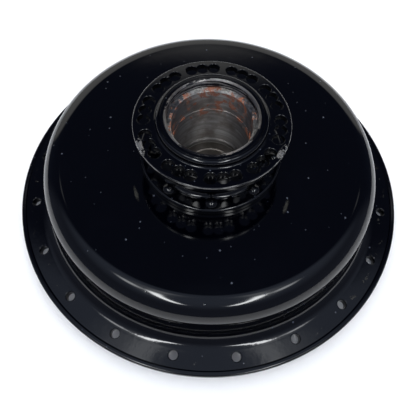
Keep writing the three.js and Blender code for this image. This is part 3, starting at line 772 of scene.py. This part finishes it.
def brake_plate():
    """Cast plate with ribs, bosses and torque lug, the spindle sleeve, anchor pin, nuts and cam bush."""
    profile = rounded([
        (10.3, 6.4, 0.4), (17.5, 6.4, 0.3), (17.9, 6.8, 0.3), (30.5, 6.8, 2.5), (36.5, 11.9, 3.0),
        (70, 11.9, 1.5), (71.5, 10.9, 1.5), (76.5, 10.9, 1.5), (78, 11.9, 1.5), (86.0, 11.9, 0.8),
        (86.5, 11.5, 0.4), (89.8, 11.5, 0.8), (89.8, 14.8, 0.8), (36.5, 14.8, 3.0), (30.5, 9.6, 2.5),
        (10.3, 9.6, 0.4)])
    plate = lathe("cast_plate", profile, 288)
    ribs = []
    for azimuth in (60, 120, 240, 300):
        rib = block("rib", (38, -2.2, 10.2), (68, 2.2, 13))
        ribs.append(moved(bevelled(rib, 1.0, 3), turn=azimuth))
    under_cam = lathe("boss", rounded([(0, 11.3), (13, 11.3, 0.8), (13, 18, 1.2), (0, 18)], closed=False), 96)
    under_pin = lathe("boss", rounded([(0, 11.45), (13, 11.45, 0.8), (13, 14.9, 0.5), (0, 14.9)],
                                      closed=False), 96)
    lug = bevelled(block("lug", (-66, 2, 3.5), (-50, 20, 13)), 1.5, 4)
    boolean(plate, ribs + [moved(under_cam, 0, CAM_Y), moved(under_pin, 0, PIVOT_Y), lug], "UNION")
    slot = bevelled(block("slot", (-61, -2, 1), (-55, 24, 9.6)), 0.6, 3)
    boolean(plate, [moved(hole_tool(8.75, 0.5, 18, 11.3, 64), 0, CAM_Y),
                    moved(hole_tool(6.1, 0.5, 14.9, 11.45, 64), 0, PIVOT_Y), slot])
    finish(smooth(plate, math.radians(25)), ALLOY, "brake_plate")

    rows, bend = threaded(10, 1.9, 6.4)
    sleeve = [(7.6, 1.6), (8.0, 1.2), (9.4, 1.2), (10, 1.8)] + rows
    sleeve += rounded([(10, 6.5), (10, 9.95, 0.2), (12.5, 9.95, 0.3), (12.5, 15.6, 0.3), (10, 15.6, 0.1),
                       (10, 28, 0.5), (7.6, 28, 0.5), (7.6, 27)], closed=False)
    finish(smooth(lathe("hollow_sleeve", sleeve, 120, bend), math.radians(40)), STEEL, "spindle_sleeve")
    finish(hex_nut("sleeve_hex_nut", 16, 10.1, 1.9, 6.2), BLACKED, "sleeve_nut")

    rows, bend = threaded(6, 4.4, 11.0)
    pin = [(0, 3.8), (5.3, 3.8), (6, 4.4)] + rows
    pin += rounded([(6, 11.1), (6, 15.0, 0.2), (9, 15.0, 0.3), (9, 19.6, 0.4), (7, 19.6, 0.3),
                    (7, 35.0, 0.2), (6.4, 35.3, 0.1), (6.4, 36.1, 0.1), (7, 36.3, 0.1), (7, 37.5, 0.7),
                    (0, 37.5)], closed=False)
    pin = moved(lathe("anchor_pin", pin, 96, bend), 0, PIVOT_Y)
    finish(smooth(pin, math.radians(40)), STEEL, "shoe_pivot_pin")
    finish(hex_nut("anchor_nut", 11, 6.1, 5.3, 11.35, 0, PIVOT_Y, 12), BLACKED, "pivot_nut")
    bush = rounded([(6.1, 11.4, 0.4), (8.6, 11.4, 0.3), (8.6, 18.2, 0.3), (6.1, 18.2, 0.4)])
    finish(smooth(moved(lathe("bronze_bush", bush, 96), 0, CAM_Y)), BRONZE, "cam_bush")


# ------------------------------------------------------------------ shoes, linings and springs


def arc_points(radius, start, end, steps):
    """Points of an arc about the origin, angles in degrees from +X."""
    return [(radius * math.cos(math.radians(start + (end - start) * i / steps)),
             radius * math.sin(math.radians(start + (end - start) * i / steps))) for i in range(steps + 1)]


def sector(name, inner, outer, half_angle, bottom, top, steps=72):
    """Part of a ring, centred on +X."""
    outline = arc_points(outer, -half_angle, half_angle, steps)
    outline += arc_points(inner, half_angle, -half_angle, steps)
    return extruded(name, outline, bottom, top)


def shoe(name):
    """Right-hand shoe: rim, web with three windows, cam pad and half cup for the anchor pin."""
    bottom, top, half = SHOE["bottom"], SHOE["top"], SHOE["end_half"]
    body = sector(name, SHOE["inner"], SHOE["outer"], 62, bottom, top)
    web = sector("web", SHOE["web_inner"], SHOE["inner"] + 1, 74, 25, 30)
    cam_pad = block("pad", (4.85, CAM_Y - half, 21), (20, CAM_Y + half, 34))
    heel = block("heel", (1, PIVOT_Y - half, 21), (20, PIVOT_Y + half, 34))
    boolean(body, [web, cam_pad, heel], "UNION")
    cuts = [moved(rod("cup", 7.15, 15, 40, 96), 0, PIVOT_Y)]
    for y, radius in ((-SPRING["y"], SPRING["cam_eye"]), (SPRING["y"], SPRING["pivot_eye"])):
        cuts.append(moved(rod("eye", radius, 20, 35, 32), SPRING["hook_x"], y))
    cuts += [moved(sector("window", 64, 74, 11, 20, 35, 20), turn=turn) for turn in (-26, 0, 26)]
    boolean(body, cuts)
    return smooth(bevelled(body, 0.7, 3, 28), math.radians(28))


def lining(name):
    """Friction strip with two rows of countersunk rivet holes."""
    strip = sector(name, LINING_SIZE["inner"], LINING_SIZE["outer"], LINING_SIZE["half_angle"],
                   SHOE["bottom"], SHOE["top"])
    bevelled(strip, 0.4, 2)
    hole = [(0, -6), (1.6, -6), (1.6, 1.2), (3.0, 1.25), (3.0, 6), (0, 6)]
    tools = []
    for z in LINING_SIZE["rows"]:
        for angle in range(-48, 49, 16):
            tool = lathe("tool", hole, 24)
            outward = Matrix.Rotation(math.pi / 2, 4, "Y")
            tool.data.transform(Matrix.Translation((LINING_SIZE["hole_r"] * MM, 0, z * MM)) @ outward)
            tools.append(moved(tool, turn=angle))
    boolean(strip, tools)
    return smooth(strip, math.radians(25))


def turned_over(obj):
    """The trailing shoe is the same piece turned over about the Y axis."""
    middle = SHOE["middle"] * MM
    obj.data.transform(Matrix.Translation((0, 0, 2 * middle)) @ Matrix.Rotation(math.pi, 4, "Y"))
    return obj


def tube_mesh(name, points, radius, sides=12):
    """Closed round wire along points in mm."""
    curve = bpy.data.curves.new(name, "CURVE")
    curve.dimensions = "3D"
    spline = curve.splines.new("POLY")
    spline.points.add(len(points) - 1)
    for point, place in zip(spline.points, points):
        point.co = (*[value * MM for value in place], 1)
    curve.bevel_depth = radius * MM
    curve.bevel_resolution = sides // 4
    curve.use_fill_caps = True
    obj = bpy.data.objects.new(name, curve)
    bpy.context.scene.collection.objects.link(obj)
    bpy.context.view_layer.update()
    mesh = bpy.data.meshes.new_from_object(obj.evaluated_get(bpy.context.evaluated_depsgraph_get()))
    bpy.data.objects.remove(obj)
    out = bpy.data.objects.new(name, mesh)
    bpy.context.scene.collection.objects.link(out)
    return out


def return_spring(name, y):
    """Close-wound pull spring with a hook at each end that drops into the shoe's web."""
    turns, coil_r, wire_r, half = 24, 4.3, 0.9, 25.0
    hook_x, z = SPRING["hook_x"], SPRING["z"]
    coil = [(-half + 2 * half * t, coil_r * math.sin(turns * 2 * math.pi * t),
             coil_r * math.cos(turns * 2 * math.pi * t)) for t in np.linspace(0, 1, turns * 20 + 1)]
    hook = []
    for t in np.linspace(0, 1, 9):
        hook.append((hook_x - 3 + 3 * math.sin(t * math.pi / 2), 0, -3 + 3 * math.cos(t * math.pi / 2)))
    lead = [(half + 2 + (hook_x - 6 - half) * t, 0, coil_r * (1 - t) ** 2) for t in np.linspace(0, 1, 10)]
    right = lead + hook + [(hook_x, 0, -6), (hook_x, 0, -8.6)]
    left = [(-a, b, c) for a, b, c in reversed(right)]
    points = [(a, b + y, c + z) for a, b, c in left + coil + right]
    return smooth(tube_mesh(name, points, wire_r), math.radians(50))


def shoes():
    """Both shoes with their linings, and the two springs that pull them together."""
    finish(shoe("shoe_leading"), ALLOY, "leading_shoe")
    finish(turned_over(shoe("shoe_trailing")), ALLOY, "trailing_shoe")
    finish(lining("lining_leading"), LINING, "leading_lining")
    finish(turned_over(lining("lining_trailing")), LINING, "trailing_lining")
    finish(return_spring("spring_cam_end", -SPRING["y"]), BLACKED, "cam_end_spring")
    finish(return_spring("spring_pivot_end", SPRING["y"]), BLACKED, "pivot_end_spring")


# ------------------------------------------------------------------ cam and lever


def cam():
    """Cam with its threaded spindle, and the lever, washer and nut outside the plate."""
    rows, bend = threaded(6, 1.7, 5.6, 1.0, 0.45)
    spindle = [(0, 1.0), (5.4, 1.0), (6, 1.6)] + rows
    spindle += rounded([(6, 5.7), (6, 18.5, 0.2), (8, 18.5, 0.4), (8, 20.4, 0.3), (0, 20.4)], closed=False)
    body = lathe("cam_spindle", spindle, 96, bend)
    head = block("head", (-CAM["half_x"], -CAM["half_y"], CAM["bottom"]),
                 (CAM["half_x"], CAM["half_y"], CAM["top"]))
    boolean(head, [rod("trim", CAM["corner_r"], 15, 36, 96)], "INTERSECT")
    bevelled(head, 0.5, 3, 40)
    boolean(body, [head], "UNION")
    finish(smooth(moved(body, 0, CAM_Y), math.radians(30)), STEEL, "brake_cam")

    length, bottom, top = LEVER["length"], LEVER["bottom"], LEVER["top"]
    outline = arc_points(LEVER["boss_r"], 80, 280, 40)
    outline += [(x + length, y) for x, y in arc_points(LEVER["tip_r"], -80, 80, 32)]
    arm = bevelled(extruded("lever_arm", outline, bottom, top), 0.7, 4, 40)
    boss = lathe("boss", rounded([(0, 6.85), (9.5, 6.85, 0.5), (9.5, 11.0, 0.6), (0, 11.0)],
                                 closed=False), 80)
    boolean(arm, [boss], "UNION")
    eye = moved(hole_tool(LEVER["eye_r"], 0.4, top, bottom, 40), length)
    boolean(arm, [rod("bore", 6.15, 4, 14, 64), eye])
    moved(smooth(arm, math.radians(25)), 0, CAM_Y, turn=LEVER["turn"])
    finish(arm, ENAMEL, "cam_lever")
    washer = rounded([(6.2, 5.5, 0.2), (10, 5.5, 0.3), (10, 6.7, 0.3), (6.2, 6.7, 0.2)])
    finish(smooth(moved(lathe("cam_flat_washer", washer, 80), 0, CAM_Y)), PLATED, "cam_washer")
    finish(hex_nut("cam_hex_nut", 9.6, 6.1, 1.5, 5.35, 0, CAM_Y, 20), BLACKED, "cam_nut")


# ------------------------------------------------------------------ floor, lights and camera


def floor():
    """Wide floor with a round opening under the drum, so that light reaches the brake from below."""
    side, opening, columns = 6.0, 92.0 * MM, 64
    turns = [(c + 0.5) * 2 * math.pi / columns for c in range(columns)]
    inner = [(opening * math.cos(a), opening * math.sin(a), 0) for a in turns]
    outer = [(side * math.cos(a), side * math.sin(a), 0) for a in turns]
    faces = [(c, columns + c, columns + (c + 1) % columns, (c + 1) % columns) for c in range(columns)]
    obj = mesh_object("floor", inner + outer, faces)
    obj.data.materials.append(floor_material())


def surroundings():
    """A dim room with a pale wall behind the hub and a bent strip light overhead.

    Only the reflections show it: the camera itself sees plain pale surroundings.
    """
    world = bpy.data.worlds.new("studio")
    bpy.context.scene.world = world
    world.use_nodes = True
    nodes, links = world.node_tree.nodes, world.node_tree.links
    background = nodes["Background"]

    def run(operation, *values):
        node = nodes.new("ShaderNodeMath")
        node.operation = operation
        for socket, value in zip(node.inputs, values):
            if isinstance(value, bpy.types.NodeSocket):
                links.new(value, socket)
            else:
                socket.default_value = value
        return node.outputs[0]

    def colour(factor, a, b):
        node = nodes.new("ShaderNodeMix")
        node.data_type = "RGBA"
        links.new(factor, node.inputs["Factor"])
        for socket, value in ((node.inputs[6], a), (node.inputs[7], b)):
            if isinstance(value, bpy.types.NodeSocket):
                links.new(value, socket)
            else:
                socket.default_value = (*value, 1)
        return node.outputs[2]

    def step(value, low, high):
        node = nodes.new("ShaderNodeMapRange")
        node.interpolation_type = "SMOOTHSTEP"
        links.new(value, node.inputs["Value"])
        node.inputs["From Min"].default_value = low
        node.inputs["From Max"].default_value = high
        return node.outputs[0]

    def square(value):
        return run("MULTIPLY", value, value)

    def away(a, b, wide_a, wide_b):
        """Distance from a point, in ellipses of these half widths."""
        return run("SQRT", run("ADD", square(run("DIVIDE", a, wide_a)), square(run("DIVIDE", b, wide_b))))

    split = nodes.new("ShaderNodeSeparateXYZ")
    links.new(nodes.new("ShaderNodeTexCoord").outputs["Generated"], split.inputs[0])
    x, y, z = split.outputs
    height = run("MAXIMUM", z, 0.05)
    across = run("ABSOLUTE", run("SUBTRACT", run("DIVIDE", x, height), 0.015))
    along = run("DIVIDE", y, height)

    room = colour(step(z, 0.55, 0.98), (0.145, 0.163, 0.222), (0.37, 0.43, 0.57))
    depth = run("MAXIMUM", y, 0.02)
    arch = away(run("ADD", run("DIVIDE", x, depth), 0.17), run("DIVIDE", z, depth), 1.3, 1.07)
    wall = run("MULTIPLY", step(arch, 1.05, 0.92), step(y, 0.02, 0.06))
    behind = run("MULTIPLY", step(y, 0.15, 0.35), step(z, 0.975, 0.93))
    room = colour(behind, room, (0.042, 0.050, 0.080))
    pale = colour(step(z, 0.0, 0.6), (0.52, 0.52, 0.50), (0.84, 0.84, 0.83))
    room = colour(wall, room, pale)
    room = colour(step(z, 0.0, -0.1), room, (0.80, 0.80, 0.82))

    bend = run("SUBTRACT", 0.30, run("MULTIPLY", 0.77, square(run("ADD", along, 0.38))))
    beside = run("ABSOLUTE", run("SUBTRACT", across, bend))
    ends = run("MULTIPLY", step(along, -0.76, -0.64), step(along, 0.15, 0.02))
    overhead = step(z, 0.3, 0.4)
    tube = run("MULTIPLY", run("MULTIPLY", step(beside, 0.062, 0.018), ends), overhead)
    outward = run("SUBTRACT", across, bend)
    halo = run("MULTIPLY", step(outward, 0.26, 0.02), step(outward, -0.13, 0.0))
    halo = run("MULTIPLY", run("MULTIPLY", halo, ends), overhead)
    spot = step(away(run("SUBTRACT", across, 0.43), run("ADD", along, 0.17), 0.13, 0.14), 1.0, 0.2)
    far_spot = step(away(run("SUBTRACT", across, 0.42), run("SUBTRACT", along, 0.55), 0.09, 0.05), 1.0, 0.4)
    brightness = run("ADD", 0.8, run("MULTIPLY", step(along, -0.10, -0.26), 18.0))
    power = run("ADD", run("MULTIPLY", tube, brightness), run("MULTIPLY", halo, 0.6))
    power = run("ADD", power, run("MULTIPLY", run("MULTIPLY", spot, overhead), 5.0))
    power = run("ADD", power, run("MULTIPLY", run("MULTIPLY", far_spot, overhead), 0.5))
    glow = nodes.new("ShaderNodeVectorMath")
    glow.operation = "SCALE"
    glow.inputs[0].default_value = (0.97, 0.99, 1.0)
    links.new(power, glow.inputs["Scale"])
    total = nodes.new("ShaderNodeVectorMath")
    total.operation = "ADD"
    links.new(room, total.inputs[0])
    links.new(glow.outputs[0], total.inputs[1])
    seen = nodes.new("ShaderNodeLightPath").outputs["Is Camera Ray"]
    links.new(colour(seen, total.outputs[0], (0.94, 0.94, 0.945)), background.inputs["Color"])
    background.inputs["Strength"].default_value = 1.0


def fill_light():
    """Wide light over the hub that brightens the floor and shows in no reflection."""
    light = bpy.data.lights.new("fill", "AREA")
    light.shape = "DISK"
    light.size = 2.2
    light.energy = 21.0
    obj = bpy.data.objects.new("fill", light)
    bpy.context.scene.collection.objects.link(obj)
    obj.location = (0, 0, 1.4)
    obj.visible_glossy = False
    obj.visible_camera = False


def camera():
    """Close camera above and in front of the hub, slightly rolled."""
    distance, elevation, roll = 0.31806, math.radians(62.303), math.radians(2.429)
    aim = Vector((-0.00026, 0.0, -0.01987))
    back = Vector((0, -math.cos(elevation), math.sin(elevation)))
    right = Vector((1, 0, 0))
    up = back.cross(right)
    turned_right = right * math.cos(roll) + up * math.sin(roll)
    turned_up = up * math.cos(roll) - right * math.sin(roll)
    data = bpy.data.cameras.new("camera")
    data.lens, data.sensor_width = 40.15, 36.0
    data.clip_start = 0.01
    obj = bpy.data.objects.new("camera", data)
    bpy.context.scene.collection.objects.link(obj)
    axes = Matrix((turned_right, turned_up, back)).transposed().to_4x4()
    obj.matrix_world = Matrix.Translation(aim + back * distance) @ axes
    bpy.context.scene.camera = obj


camera()
floor()
surroundings()
fill_light()
drum()
nose_barrel()
nose_bore()
rivets()
bearing()
brake_plate()
shoes()
cam()

settings = bpy.context.scene.view_settings
settings.view_transform = "Standard"
settings.look = "None"
settings.exposure = 0.0
